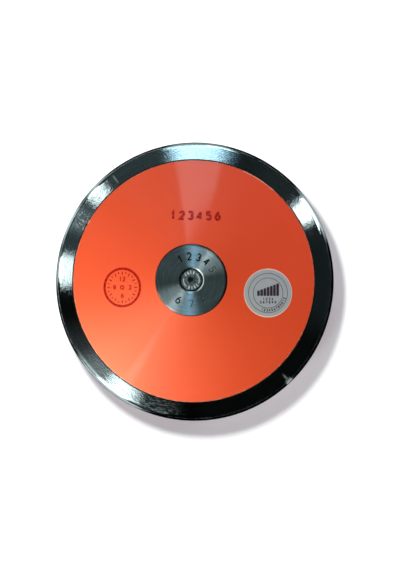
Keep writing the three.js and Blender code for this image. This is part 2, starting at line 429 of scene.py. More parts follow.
# Side plates: two orange mouldings of tough plastic, flush with the rim at a fine seam.
# Under each face are a locating lip, twelve spoke ribs, two ring ribs and a flat land, which
# the centre plate clamps. The face is turned true after moulding and keeps faint round lines.
# The orange is painted darker in a band beside the seam, as painted shade.
LAND_THICKNESS = 3.0 * MM
LIP_WIDTH = 2.2 * MM
LIP_DEPTH = 5.0 * MM
RIB_WIDTH = 1.8 * MM
RIB_DEPTH = 4.0 * MM
RING_RIB_DEPTH = 3.0 * MM
ROOT_BEVEL = 2.5 * MM
SPOKE_RIBS = 12
RING_RIB_SHARES = (0.36, 0.7)
STACK_GAP = 0.1 * MM
PLATE_EDGE = 0.12 * MM
MOUTH_EDGE = 0.12 * MM
MOUTH_GAP = 0.1 * MM
ORANGE = (0.540, 0.055, 0.0165, 1.0)
ORANGE_DEEP = (0.475, 0.043, 0.012, 1.0)
WORN_ORANGE = (0.78, 0.42, 0.32, 1.0)
# Painted shade on the orange next to the seam.
SEAM_SHADED_ORANGE = (0.13, 0.035, 0.025, 1.0)
CHIPPED_AZIMUTH = 57

PLATE_EDGE_RADIUS = SEAM_RADIUS - SEAM_LINE
LIP_OUTER = FLANGE_BORE - SEAM_GAP
LIP_INNER = LIP_OUTER - LIP_WIDTH
RECESS_RADIUS = FLAT_RADIUS + MOUTH_GAP
COLLAR_RADIUS = RECESS_RADIUS + SHELL_WALL
CENTRE_PLATE_BOTTOM = HALF_THICKNESS - 5.0 * MM
LAND_TOP = CENTRE_PLATE_BOTTOM - STACK_GAP
LAND_BOTTOM = LAND_TOP - LAND_THICKNESS
LAND_BORE = 12.0 * MM


def shell_outline():
    bevel_end = COLLAR_RADIUS + ROOT_BEVEL
    bevel_top = face_height(bevel_end, SHELL_WALL)
    lip_bottom = face_height(LIP_OUTER, SHELL_WALL) - LIP_DEPTH
    return rounded(
        [
            (LIP_OUTER, face_height(LIP_OUTER, SHELL_WALL), 0),
            (PLATE_EDGE_RADIUS, face_height(PLATE_EDGE_RADIUS, SHELL_WALL), 0),
            (PLATE_EDGE_RADIUS, face_height(PLATE_EDGE_RADIUS), PLATE_EDGE),
            (RECESS_RADIUS, face_height(RECESS_RADIUS), MOUTH_EDGE),
            (RECESS_RADIUS, LAND_TOP, 0),
            (LAND_BORE, LAND_TOP, 0),
            (LAND_BORE, LAND_BOTTOM, 0),
            (COLLAR_RADIUS, LAND_BOTTOM, 0),
            (COLLAR_RADIUS, bevel_top - ROOT_BEVEL, 0),
            (bevel_end, bevel_top, 0),
            (LIP_INNER, face_height(LIP_INNER, SHELL_WALL), 0),
            (LIP_INNER, lip_bottom, PLATE_EDGE),
            (LIP_OUTER, lip_bottom, PLATE_EDGE),
        ]
    )


def spoke_rib(turn):
    """A rib along a radius, rooted halfway into the shell at its top and both ends."""
    inner = RECESS_RADIUS + SHELL_WALL / 2
    outer = LIP_INNER + LIP_WIDTH / 2
    outline = [
        (inner, LAND_BOTTOM + MOUTH_EDGE),
        (COLLAR_RADIUS, LAND_BOTTOM + MOUTH_EDGE),
        (outer, face_height(outer, SHELL_WALL) - RIB_DEPTH),
        (outer, face_height(outer, SHELL_WALL / 2)),
        (inner, face_height(inner, SHELL_WALL / 2)),
    ]
    form = bmesh.new()
    sides = [
        [form.verts.new((radius, side * RIB_WIDTH / 2, height)) for radius, height in outline]
        for side in (-1, 1)
    ]
    skinned(form, sides, False)
    bmesh.ops.rotate(form, verts=form.verts, matrix=Matrix.Rotation(turn, 3, "Z"))
    return form


def ring_rib(share):
    """A round rib at a share of the way from the recess to the lip."""
    inner = COLLAR_RADIUS + (LIP_INNER - COLLAR_RADIUS) * share - RIB_WIDTH / 2
    outer = inner + RIB_WIDTH
    bottom = face_height(outer, SHELL_WALL) - RING_RIB_DEPTH
    outline = [
        (inner, bottom),
        (outer, bottom),
        (outer, face_height(outer, SHELL_WALL / 2)),
        (inner, face_height(inner, SHELL_WALL / 2)),
    ]
    return turned(outline, ROUND_STEPS // 2)


def boolean(body, tool_form, operation):
    """Joins a bmesh to a piece, or cuts it out of the piece."""
    tool = made("tool", tool_form)
    change = body.modifiers.new("change", "BOOLEAN")
    change.operation = operation
    change.solver = "EXACT"
    change.object = tool
    changed = bpy.data.meshes.new_from_object(
        body.evaluated_get(bpy.context.evaluated_depsgraph_get())
    )
    body.modifiers.clear()
    form = bmesh.new()
    form.from_mesh(changed)
    creased(form, body.data)
    bpy.data.meshes.remove(changed)
    bpy.data.objects.remove(tool)


def other_face(piece, name):
    """The same piece turned over for the back face."""
    twin = bpy.data.objects.new(name, piece.data.copy())
    twin.data.transform(Matrix.Rotation(math.pi, 4, "X"))
    bpy.context.scene.collection.objects.link(twin)
    return twin


def plastic_finish():
    plastic, finish = material("orange_plastic")
    polar = finish.polar()
    direction, radius = polar[:2]
    lines = finish.drawn_round(polar, 2.5, 1.4, 3.0)
    fine = finish.drawn_round(polar, 5.0, 5.0, 2.0, 9.0)
    cloud = finish.noise(finish.place(), 22.0, 3.0)
    chips = finish.drawn_round(polar, 34.0, 2.5, 3.0, 50.0)
    ripples = finish.drawn_round(polar, 2.0, 0.6, 1.0, 70.0)
    edge = radius.between(PLATE_EDGE_RADIUS / MM - 0.9, PLATE_EDGE_RADIUS / MM - 0.2)
    chipped = finish.sector(direction, CHIPPED_AZIMUTH, 9, 2)
    worn = edge * (chips.between(0.56 - chipped * 0.2, 0.64 - chipped * 0.2) * 0.75 + 0.05)
    # Painted shade on the orange in a band next to the seam.
    seam_shade = radius.between(PLATE_EDGE_RADIUS / MM - 1.1, PLATE_EDGE_RADIUS / MM)
    body = finish.mix(cloud * 0.7 + lines * 0.3, ORANGE_DEEP, ORANGE)
    body = finish.mix(seam_shade * 0.7, body, SEAM_SHADED_ORANGE)
    finish.surface(
        {
            "Base Color": finish.mix(worn, body, WORN_ORANGE),
            "Roughness": 0.38 + fine * 0.08 + cloud * 0.06 + worn * 0.2,
            "IOR": 1.58,
            "Coat Weight": 1.0 - worn * 0.8 - ripples.between(0.42, 0.62) * 0.2,
            "Coat Roughness": 0.07,
            "Coat IOR": 1.45,
            "Normal": finish.bump(lines * 0.4 + fine * 0.6, 0.009),
        }
    )
    return plastic


front_plate = made("front_side_plate_moulded", turned(shell_outline(), ROUND_STEPS))
for number in range(SPOKE_RIBS):
    boolean(front_plate, spoke_rib(2 * math.pi * number / SPOKE_RIBS), "UNION")
for share in RING_RIB_SHARES:
    boolean(front_plate, ring_rib(share), "UNION")
back_plate = other_face(front_plate, "back_side_plate_moulded")
orange_plastic = plastic_finish()
dressed(front_plate, orange_plastic, "side_plate_plastic", "front_side_plate")
dressed(back_plate, orange_plastic, "side_plate_plastic", "back_side_plate")


# Centre plates: turned steel discs let flush into the side plates and clamped by the screws.
# A spigot below locates each in the land, and the hole in the middle is countersunk at 45 degrees.
# The front one is stamped with plain numbers, which leave sunk strokes with bright lips.
# The strokes are painted dark as shade. The edge has a painted shadow at the upper right and a
# painted shade line at the top. The countersink's mouth has a painted highlight on one side and
# painted shade on the other, with painted shade in the gap round the screw.
SPIGOT_RADIUS = LAND_BORE - SEAM_GAP
SPIGOT_LENGTH = 3.0 * MM
CENTRE_PLATE_BEVEL = 0.7 * MM
COUNTERSINK_RADIUS = 9.67 * MM
BOLT_HOLE = 4.3 * MM
COUNTERSINK_EDGE = 1.4 * MM
NUMBER_HEIGHT = 7.0 * MM
NUMBER_RADIUS = 18.4 * MM
NUMBER_DEPTH = 0.35 * MM
NUMBER_FOOT = 0.7 * MM
NUMBER_HEAD = 1.7 * MM
# Each stamped number: figure, turn in degrees, share of the full depth.
TOP_NUMBERS = (("1", 118, 1.0), ("2", 95, 1.0), ("3", 72, 1.0), ("4", 50, 1.0), ("5", 27, 0.45))
BOTTOM_NUMBERS = (("6", 237, 0.7), ("7", 270, 0.45), ("8", 303, 0.38))
PLATE_STEEL_LIGHT = (0.50, 0.61, 0.62, 1.0)
PLATE_STEEL_DARK = (0.25, 0.32, 0.33, 1.0)
# Painted shadow and a painted shade line on the plate's edge, and a painted highlight on the mouth.
PAINTED_SHADOW_AZIMUTH = 25
PAINTED_SHADE_LINE_AZIMUTH = 95
PAINTED_HIGHLIGHT_AZIMUTH = 12
# Near black painted shade for the sunk strokes, the edge and the gap round the screw.
PAINTED_SHADE_STEEL = (0.015, 0.018, 0.018, 1.0)
PAINTED_HIGHLIGHT_STEEL = (0.78, 0.84, 0.82, 1.0)


def centre_plate_outline():
    spigot_bottom = CENTRE_PLATE_BOTTOM - SPIGOT_LENGTH
    return rounded(
        [
            (BOLT_HOLE, spigot_bottom, 0),
            (SPIGOT_RADIUS, spigot_bottom, 0),
            (SPIGOT_RADIUS, CENTRE_PLATE_BOTTOM, 0),
            (FLAT_RADIUS, CENTRE_PLATE_BOTTOM, 0),
            (FLAT_RADIUS, HALF_THICKNESS, CENTRE_PLATE_BEVEL),
            (COUNTERSINK_RADIUS, HALF_THICKNESS, COUNTERSINK_EDGE),
            (BOLT_HOLE, HALF_THICKNESS - (COUNTERSINK_RADIUS - BOLT_HOLE), 0),
        ]
    )


# Each figure is a list of strokes in a cell one high and one wide round x = 0. A stroke is a run
# of points and of arcs, which give their middle, both half widths and two turns in degrees.
FIGURE_STROKE_SHARES = {
    "0": [[(0, 0.5, 0.5, 0.5, 90, 450)]],
    "1": [[(-0.3, 0.76), (0.06, 1), (0.06, 0)]],
    "2": [[(0, 0.71, 0.47, 0.29, 170, -32), (-0.5, 0), (0.5, 0)]],
    "3": [[(-0.04, 0.75, 0.46, 0.25, 155, -90)], [(-0.04, 0.25, 0.52, 0.25, 90, -155)]],
    "4": [[(0.2, 0), (0.2, 1)], [(0.2, 1), (-0.5, 0.3), (0.5, 0.3)]],
    "5": [[(0.42, 1), (-0.38, 1), (-0.38, 0.5)], [(-0.02, 0.31, 0.52, 0.31, 142, -150)]],
    "6": [[(0, 0.31, 0.5, 0.31, 180, 540)], [(0.5, 0.31, 1, 0.69, 180, 100)]],
    "7": [[(-0.5, 1), (0.5, 1), (-0.12, 0)]],
    "8": [[(0, 0.76, 0.42, 0.24, 90, 450)], [(0, 0.27, 0.5, 0.27, 90, 450)]],
    "9": [[(0, 0.69, 0.5, 0.31, 0, 360)], [(-0.5, 0.69, 1, 0.69, 0, -80)]],
}
FIGURE_WIDTH_SHARE = 0.64
FIGURE_SPACE_SHARE = 0.12
FIGURE_ARC_STEP = 15


def stroke(path, closed, foot, head, low, high):
    """A bar swept along a flat path, with one width at its foot and another at its head."""
    sides = []
    for i, here in enumerate(path):
        before = here - path[i - 1] if closed or i > 0 else None
        after = path[(i + 1) % len(path)] - here if closed or i < len(path) - 1 else None
        into = (before or after).normalized()
        out = (after or before).normalized()
        along = (into + out).normalized()
        across = Vector((-along.y, along.x)) / max(0.5, along.dot(into))
        sides.append((here, across))
    form = bmesh.new()
    rings = []
    for here, across in sides:
        corners = ((-foot, low), (foot, low), (head, high), (-head, high))
        rings.append([form.verts.new((*(here + across * w / 2), z)) for w, z in corners])
    return skinned(form, rings, closed)


def figure(text, height, foot, head, low, high):
    """A plain stroked figure round the origin, between two levels."""
    rise = height - max(foot, head)
    width = height * FIGURE_WIDTH_SHARE - max(foot, head)
    whole = None
    for run in FIGURE_STROKE_SHARES[text]:
        path = []
        closed = False
        for item in run:
            if len(item) == 2:
                path.append(Vector(item))
                continue
            x, y, half_width, half_height, start, end = item
            closed = abs(end - start) == 360
            steps = round(abs(end - start) / FIGURE_ARC_STEP)
            for step in range(steps if closed else steps + 1):
                turn = math.radians(start + (end - start) * step / steps)
                path.append(Vector((x + half_width * math.cos(turn), y + half_height * math.sin(turn))))
        path = [Vector((point.x * width, (point.y - 0.5) * rise)) for point in path]
        form = stroke(path, closed, foot, head, low, high)
        if whole:
            boolean(whole, form, "UNION")
        else:
            whole = made("figure", form)
    form = bmesh.new()
    form.from_mesh(whole.data)
    bpy.data.objects.remove(whole)
    return form


def merged(forms):
    """One bmesh of several."""
    whole = bmesh.new()
    for form in forms:
        part = bpy.data.meshes.new("part")
        form.to_mesh(part)
        form.free()
        whole.from_mesh(part)
        bpy.data.meshes.remove(part)
    return whole


def on_circle(form, degrees, radius, height, inward=False):
    """Moves a figure to a circle round the axis, its top pointing out or in."""
    turn = math.radians(degrees)
    spin = turn + (math.pi / 2 if inward else -math.pi / 2)
    place = Vector((radius * math.cos(turn), radius * math.sin(turn), height))
    bmesh.ops.transform(
        form, verts=form.verts, matrix=Matrix.Translation(place) @ Matrix.Rotation(spin, 4, "Z")
    )
    return form


def stamps():
    """The stamping punches, standing in the plate's face."""
    forms = []
    for numbers, inward in ((TOP_NUMBERS, False), (BOTTOM_NUMBERS, True)):
        for text, degrees, share in numbers:
            depth = NUMBER_DEPTH * share
            size = (NUMBER_HEIGHT, NUMBER_FOOT, NUMBER_HEAD, -depth, NUMBER_DEPTH)
            form = figure(text, *size)
            forms.append(on_circle(form, degrees, NUMBER_RADIUS, HALF_THICKNESS, inward))
    return merged(forms)


def centre_plate_finish():
    steel, finish = material("turned_centre_steel")
    polar = finish.polar()
    direction, radius, height = polar
    lines = finish.drawn_round(polar, 1.6, 6.0, 4.0)
    bands = finish.drawn_round(polar, 3.0, 1.2, 2.0, 30.0)
    smudges = finish.noise(finish.place(), 120.0, 4.0, 0.6)
    shade = lines.between(0.3, 0.7) * 0.6 + bands.between(0.3, 0.7) * 0.4
    clean = finish.mix(shade, PLATE_STEEL_DARK, PLATE_STEEL_LIGHT)
    face = HALF_THICKNESS / MM
    # The sunk strokes are painted dark, as shade.
    sunk_shade = ((height * height) ** 0.5).between(face - 0.06, face - 0.22) * radius.between(10.5, 11.0)
    sunk_shade = sunk_shade * radius.between(26.6, 26.2)
    # A painted highlight on the mouth of the countersink, on one side only.
    mouth = radius.between(10.1, 9.8) * radius.between(8.8, 9.2)
    highlight_side = finish.sector(direction, PAINTED_HIGHLIGHT_AZIMUTH, 72, 12)
    clean = finish.mix(mouth * highlight_side, clean, PAINTED_HIGHLIGHT_STEEL)
    # Painted shadow at the upper right edge, a painted shade line at the top edge, and painted shade on
    # the mouth's other side and in the gap round the screw.
    painted_shade = radius.between(25.4, 27.6) * finish.sector(direction, PAINTED_SHADOW_AZIMUTH, 70, 25)
    painted_edge_line = radius.between(27.1, 27.6) * finish.sector(direction, PAINTED_SHADE_LINE_AZIMUTH, 60, 10)
    painted_shade = painted_shade.math("MAXIMUM", painted_shade, painted_edge_line)
    painted_shade = painted_shade.math("MAXIMUM", painted_shade, mouth * (0.25 - highlight_side * 0.25))
    painted_shade = painted_shade.math("MAXIMUM", painted_shade, radius.between(9.1, 8.7))
    clean = finish.mix(painted_shade, clean, PAINTED_SHADE_STEEL)
    finish.surface(
        {
            "Base Color": finish.mix(sunk_shade, clean, PAINTED_SHADE_STEEL),
            "Metallic": 1.0 - mouth * highlight_side * 0.45,
            "Roughness": 0.36 + bands * 0.06 + smudges.between(0.5, 0.8) * 0.08,
            "Anisotropic": 0.95,
            "Anisotropic Rotation": 0.25,
            "Normal": finish.bump(lines * 0.6 + bands * 0.4, 0.012),
        }
    )
    return steel


front_centre = made("front_centre_plate_turned", turned(centre_plate_outline(), ROUND_STEPS))
back_centre = other_face(front_centre, "back_centre_plate_turned")
boolean(front_centre, stamps(), "DIFFERENCE")
turned_centre_steel = centre_plate_finish()
dressed(front_centre, turned_centre_steel, "centre_plate_steel", "front_centre_plate")
dressed(back_centre, turned_centre_steel, "centre_plate_steel", "back_centre_plate")


# Screws: M8 countersunk socket screws of blacked steel, one from each side into the hub core.
# The head has a rolled thread below it, a hexagon socket with a drilled bottom, and a ring of
# raised strokes that handling has rubbed bright. Their pale colour is also a painted highlight.
SHANK_RADIUS = 4.0 * MM
HEAD_RADIUS = 8.0 * MM
HEAD_LAND = 0.96 * MM
HEAD_TOP = HALF_THICKNESS - 0.5 * MM
HEAD_EDGE = 0.35 * MM
TIP_HEIGHT = 2.0 * MM
TIP_BEVEL = 1.0 * MM
THREAD_PITCH = 1.25 * MM
THREAD_DEPTH = 0.68 * MM
THREAD_FLANK_SHARE = 0.42
THREAD_ROOT_SHARE = 1.15
THREAD_TURN_STEPS = 48
THREAD_PITCH_STEPS = 8
PLAIN_NECK = 1.4 * MM
SOCKET_FLATS = 5.0 * MM
SOCKET_DEPTH = 3.0 * MM
SOCKET_CHAMFER = 0.35 * MM
DRILL_SLOPE = math.radians(31)
MARK_HEIGHT = 0.14 * MM
MARK_ROOT = 0.06 * MM
# The raised marks: two long arcs, and two runs of short bars, with all turns in degrees.
MARK_ARC_INNER = 5.7 * MM
MARK_ARC_OUTER = 6.5 * MM
MARK_ARCS = ((-25, 48), (168, 228))
MARK_ARC_STEPS = 12
MARK_BAR_INNER = 4.7 * MM
MARK_BAR_OUTER = 7.1 * MM
MARK_BAR_STARTS = (72, 252)
MARK_BAR_COUNT = 4
MARK_BAR_SPACING = 22
MARK_BAR_HALF_WIDTHS = (6.0, 4.0)
BLACK_STEEL = (0.085, 0.102, 0.102, 1.0)
BLACK_STEEL_RUBBED = (0.34, 0.40, 0.39, 1.0)
RUBBED_AND_HIGHLIGHT_STEEL = (0.68, 0.75, 0.73, 1.0)


def screw_body():
    """Head, plain neck and thread, as one skin of rings from the tip up to the head."""
    cone_top = HEAD_TOP - HEAD_LAND
    cone_bottom = cone_top - (HEAD_RADIUS - SHANK_RADIUS)
    thread_top = cone_bottom - PLAIN_NECK
    rows = math.ceil((thread_top - TIP_HEIGHT) / THREAD_PITCH * THREAD_PITCH_STEPS)
    levels = [TIP_HEIGHT + (thread_top - TIP_HEIGHT) * row / rows for row in range(rows + 1)]
    head = rounded(
        [
            (SHANK_RADIUS, cone_bottom, 0),
            (HEAD_RADIUS, cone_top, 0),
            (HEAD_RADIUS, HEAD_TOP, HEAD_EDGE),
            (0, HEAD_TOP, 0),
        ]
    )
    form = bmesh.new()
    rings = []
    for step in range(THREAD_TURN_STEPS):
        share = step / THREAD_TURN_STEPS
        points = [(0, TIP_HEIGHT)]
        for level in levels:
            phase = (level / THREAD_PITCH - share) % 1.0
            groove = max(0.0, 1.0 - abs(phase - 0.5) / THREAD_FLANK_SHARE)
            fade = min(1.0, (thread_top - level) / THREAD_PITCH)
            tip_limit = SHANK_RADIUS - TIP_BEVEL + (level - TIP_HEIGHT)
            cut = SHANK_RADIUS - THREAD_DEPTH * min(1.0, groove * THREAD_ROOT_SHARE) * fade
            points.append((min(cut, tip_limit), level))
        rings.append(station(form, points + head, 2 * math.pi * share))
    skinned(form, rings, True)
    bmesh.ops.remove_doubles(form, verts=form.verts, dist=TOUCH)
    bmesh.ops.dissolve_degenerate(form, edges=form.edges, dist=TOUCH)
    return form


def socket_punch():
    """Hexagon cutter with a chamfered mouth and a drilled point."""
    corner = SOCKET_FLATS / math.sqrt(3)
    outline = [
        (0, HEAD_TOP + MM),
        (corner + SOCKET_CHAMFER + MM, HEAD_TOP + MM),
        (corner + SOCKET_CHAMFER, HEAD_TOP),
        (corner, HEAD_TOP - SOCKET_CHAMFER),
        (corner, HEAD_TOP - SOCKET_DEPTH),
        (0, HEAD_TOP - SOCKET_DEPTH - corner * math.tan(DRILL_SLOPE)),
    ]
    return turned(outline, 6)


def raised_bar(inner, outer, start, end, steps):
    """A raised stroke on the head, between two radii and two turns in degrees."""
    low, high = HEAD_TOP - MARK_ROOT, HEAD_TOP + MARK_HEIGHT
    outline = ((inner, low), (outer, low), (outer, high), (inner, high))
    turns = [math.radians(start + (end - start) * step / steps) for step in range(steps + 1)]
    form = bmesh.new()
    return skinned(form, [station(form, outline, turn) for turn in turns], False)


def head_marks():
    """Two long arcs and two runs of short bars, as one form."""
    forms = [raised_bar(MARK_ARC_INNER, MARK_ARC_OUTER, *ends, MARK_ARC_STEPS) for ends in MARK_ARCS]
    for first in MARK_BAR_STARTS:
        for number in range(MARK_BAR_COUNT):
            middle = first + MARK_BAR_SPACING * number
            half = MARK_BAR_HALF_WIDTHS[number % 2]
            forms.append(raised_bar(MARK_BAR_INNER, MARK_BAR_OUTER, middle - half, middle + half, 2))
    return merged(forms)


def screw_finish():
    steel, finish = material("blacked_steel")
    polar = finish.polar()
    radius, height = polar[1:]
    level = (height * height) ** 0.5
    lines = finish.drawn_round(polar, 2.0, 4.0, 3.0)
    grain = finish.noise(finish.place(), 900.0, 3.0, 0.6)
    top = HEAD_TOP / MM
    # The raised strokes get a pale colour: rubbed wear, and also a painted highlight.
    raised = level.between(top + 0.03, top + 0.1)
    rubbed = level.between(top - 0.1, top - 0.02) * grain.between(0.45, 0.7)
    within = level.between(top - 0.2, top - 0.7) * radius.between(3.3, 2.9)
    body = finish.mix(rubbed * 0.8 + lines * 0.2, BLACK_STEEL, BLACK_STEEL_RUBBED)
    finish.surface(
        {
            "Base Color": finish.mix(raised, body, RUBBED_AND_HIGHLIGHT_STEEL),
            "Metallic": 0.85 - rubbed * 0.3 - within * 0.3 - raised * 0.25,
            "Roughness": 0.34 + grain * 0.15 - raised * 0.05,
            "Normal": finish.bump(grain, 0.02),
        }
    )
    return steel


front_screw = made("front_socket_screw", screw_body())
boolean(front_screw, head_marks(), "UNION")
boolean(front_screw, socket_punch(), "DIFFERENCE")
back_screw = other_face(front_screw, "back_socket_screw")
blacked_steel = screw_finish()
dressed(front_screw, blacked_steel, "screw_steel", "front_screw")
dressed(back_screw, blacked_steel, "screw_steel", "back_screw")


# Printing on the front side plate: dark red ink, laid on by pad printing and a hair thick.
# A row of bold plain numbers stands above the middle, and a dial of ticks and numbers in a ring
# stands at the left. The back plate has no print.
INK_THICKNESS = 0.05 * MM
INK_ROOT = 0.03 * MM
ROW_TEXT = "123456"
ROW_CENTRE = Vector((2.6 * MM, 50.4 * MM))
ROW_WIDTH = 35.0 * MM
ROW_HEIGHT = 7.9 * MM
ROW_TILT = math.radians(-1.5)
ROW_STROKE = 1.95 * MM
DIAL_CENTRE = Vector((-54.7 * MM, -5.35 * MM))
DIAL_RADIUS = 15.6 * MM
DIAL_LINE = 1.9 * MM
DIAL_TICKS = 24
DIAL_TICK_OUTER = 12.3 * MM
DIAL_TICK_LENGTHS = (2.5 * MM, 1.4 * MM)
DIAL_TICK_WIDTH = 0.8 * MM
DIAL_NUMBER_HEIGHT = 3.9 * MM
DIAL_STROKE = 0.85 * MM
DIAL_HUB = (0.9 * MM, 1.8 * MM)
DIAL_HUB_STEPS = 32
PRINT_STEP = 0.9 * MM
RING_STEPS = 120
DIAL_NUMBERS = (("3", 0), ("12", 90), ("9", 180), ("6", 270))
DIAL_NUMBER_RADIUS = 6.4 * MM
INK_RED = (0.225, 0.003, 0.001, 1.0)
INK_RED_THIN = (0.270, 0.006, 0.003, 1.0)


def draped(form, centre, tilt=0.0):
    """Lays a flat form on the front face, true to size along the slope, in steps that bend."""
    outward = centre.normalized()
    bmesh.ops.triangulate(form, faces=form.faces)
    long = [edge for edge in form.edges if edge.calc_length() > PRINT_STEP]
    while long:
        bmesh.ops.subdivide_edges(form, edges=long, cuts=1)
        bmesh.ops.triangulate(form, faces=[face for face in form.faces if len(face.verts) > 3])
        long = [edge for edge in form.edges if edge.calc_length() > PRINT_STEP]
    for vert in form.verts:
        flat = Matrix.Rotation(tilt, 2) @ Vector(vert.co[:2])
        radial = flat.dot(outward)
        flat -= outward * radial * (1 - math.cos(TAPER))
        flat += centre
        vert.co = (flat.x, flat.y, face_height(flat.length) + vert.co.z)
    return form


def moved(form, x, y, turn=0.0):
    """Turns a form round its own middle, then moves it."""
    place = Matrix.Translation((x, y, 0)) @ Matrix.Rotation(turn, 4, "Z")
    bmesh.ops.transform(form, verts=form.verts, matrix=place)
    return form


def printed_ring(inner, outer, steps=RING_STEPS):
    """A flat ring of ink round the origin."""
    outline = [(inner, -INK_ROOT), (outer, -INK_ROOT), (outer, INK_THICKNESS), (inner, INK_THICKNESS)]
    return turned(outline, steps)


def printed_bar(width, height):
    """A flat bar of ink round the origin."""
    form = bmesh.new()
    bmesh.ops.create_cube(form, size=1.0)
    size = (width, height, INK_THICKNESS + INK_ROOT)
    bmesh.ops.scale(form, verts=form.verts, vec=size)
    bmesh.ops.translate(form, verts=form.verts, vec=(0, 0, (INK_THICKNESS - INK_ROOT) / 2))
    return form


def printed_number(text, height, line):
    """A plain number in ink round the origin."""
    pitch = height * (FIGURE_WIDTH_SHARE + FIGURE_SPACE_SHARE)
    forms = []
    for place, one in enumerate(text):
        form = figure(one, height, line, line, -INK_ROOT, INK_THICKNESS)
        forms.append(moved(form, (place - (len(text) - 1) / 2) * pitch, 0))
    return merged(forms)


def row_of_numbers():
    forms = []
    for number, text in enumerate(ROW_TEXT):
        share = number / (len(ROW_TEXT) - 1) - 0.5
        forms.append(moved(printed_number(text, ROW_HEIGHT, ROW_STROKE), share * ROW_WIDTH, 0))
    return draped(merged(forms), ROW_CENTRE, ROW_TILT)


def printed_dial():
    forms = [printed_ring(DIAL_RADIUS - DIAL_LINE, DIAL_RADIUS)]
    for number in range(DIAL_TICKS):
        turn = 2 * math.pi * number / DIAL_TICKS
        length = DIAL_TICK_LENGTHS[number % 2]
        radius = DIAL_TICK_OUTER - length / 2
        bar = printed_bar(length, DIAL_TICK_WIDTH)
        forms.append(moved(bar, radius * math.cos(turn), radius * math.sin(turn), turn))
    for text, degrees in DIAL_NUMBERS:
        turn = math.radians(degrees)
        place = (DIAL_NUMBER_RADIUS * math.cos(turn), DIAL_NUMBER_RADIUS * math.sin(turn))
        forms.append(moved(printed_number(text, DIAL_NUMBER_HEIGHT, DIAL_STROKE), *place))
    forms.append(printed_ring(*DIAL_HUB, DIAL_HUB_STEPS))
    return draped(merged(forms), DIAL_CENTRE)


def ink_finish():
    ink, finish = material("red_ink")
    thin = finish.noise(finish.place(), 700.0, 3.0, 0.6)
    finish.surface(
        {
            "Base Color": finish.mix(thin.between(0.35, 0.75), INK_RED, INK_RED_THIN),
            "Roughness": 0.22 + thin * 0.12,
            "IOR": 1.5,
            "Normal": finish.bump(thin, 0.01),
        }
    )
    return ink


red_ink = ink_finish()
for name, form in (("front_number_row", row_of_numbers()), ("front_dial_print", printed_dial())):
    dressed(made(name, form), red_ink, "print_ink")


# Sticker: a round of pale grey vinyl pressed onto the front plate at the right.
# Its printing is plain too: two fine rings, a scale of rising bars, rows of small numbers and
# an arc of numbers between the rings, in a violet black ink.
STICKER_CENTRE = Vector((59.1 * MM, -10.0 * MM))
STICKER_RADIUS = 18.95 * MM
STICKER_THICKNESS = 0.11 * MM
STICKER_EDGE = 0.06 * MM
STICKER_RINGS = 12
STICKER_STEPS = 144
FINE_RINGS = ((15.25 * MM, 0.36 * MM), (11.65 * MM, 0.36 * MM))
SCALE_BARS = 7
BAR_WIDTH = 2.05 * MM
BAR_PITCH = 2.5 * MM
BAR_BASE = -2.2 * MM
BAR_LOWEST = 4.0 * MM
BAR_HIGHEST = 9.5 * MM
SMALL_ROWS = (("1234", -4.6 * MM), ("567890", -7.1 * MM))
SMALL_HEIGHT = 2.1 * MM
SMALL_STROKE = 0.5 * MM
SMALL_PITCH = 2.3 * MM
ARC_NUMBERS = "123456789012"
ARC_RADIUS = 13.45 * MM
ARC_START = -110
ARC_SWEEP = 92
VINYL = (0.270, 0.308, 0.358, 1.0)
VINYL_SHADED = (0.212, 0.245, 0.290, 1.0)
VINYL_EDGE = (0.56, 0.42, 0.39, 1.0)
BLACK_INK = (0.018, 0.010, 0.020, 1.0)
BLACK_INK_WORN = (0.05, 0.035, 0.06, 1.0)


def sticker_vinyl():
    """A thin disc in rings, so that it follows the slope all over."""
    shares = [ring / STICKER_RINGS for ring in range(STICKER_RINGS + 1)]
    back = [(STICKER_RADIUS * share, -INK_ROOT) for share in shares]
    face = [((STICKER_RADIUS - STICKER_EDGE) * share, STICKER_THICKNESS) for share in shares]
    return draped(turned(back + face[::-1], STICKER_STEPS), STICKER_CENTRE)


def sticker_printing():
    forms = [printed_ring(radius - width / 2, radius + width / 2) for radius, width in FINE_RINGS]
    for number in range(SCALE_BARS):
        share = number / (SCALE_BARS - 1)
        height = BAR_LOWEST + (BAR_HIGHEST - BAR_LOWEST) * share
        across = (number - (SCALE_BARS - 1) / 2) * BAR_PITCH
        forms.append(moved(printed_bar(BAR_WIDTH, height), across, BAR_BASE + height / 2))
    for text, height in SMALL_ROWS:
        for number, one in enumerate(text):
            across = (number - (len(text) - 1) / 2) * SMALL_PITCH
            forms.append(moved(printed_number(one, SMALL_HEIGHT, SMALL_STROKE), across, height))
    for number, one in enumerate(ARC_NUMBERS):
        turn = math.radians(ARC_START + ARC_SWEEP * number / (len(ARC_NUMBERS) - 1))
        place = (ARC_RADIUS * math.cos(turn), ARC_RADIUS * math.sin(turn))
        form = printed_number(one, SMALL_HEIGHT, SMALL_STROKE)
        forms.append(moved(form, *place, turn + math.pi / 2))
    form = draped(merged(forms), STICKER_CENTRE)
    bmesh.ops.translate(form, verts=form.verts, vec=(0, 0, STICKER_THICKNESS))
    return form


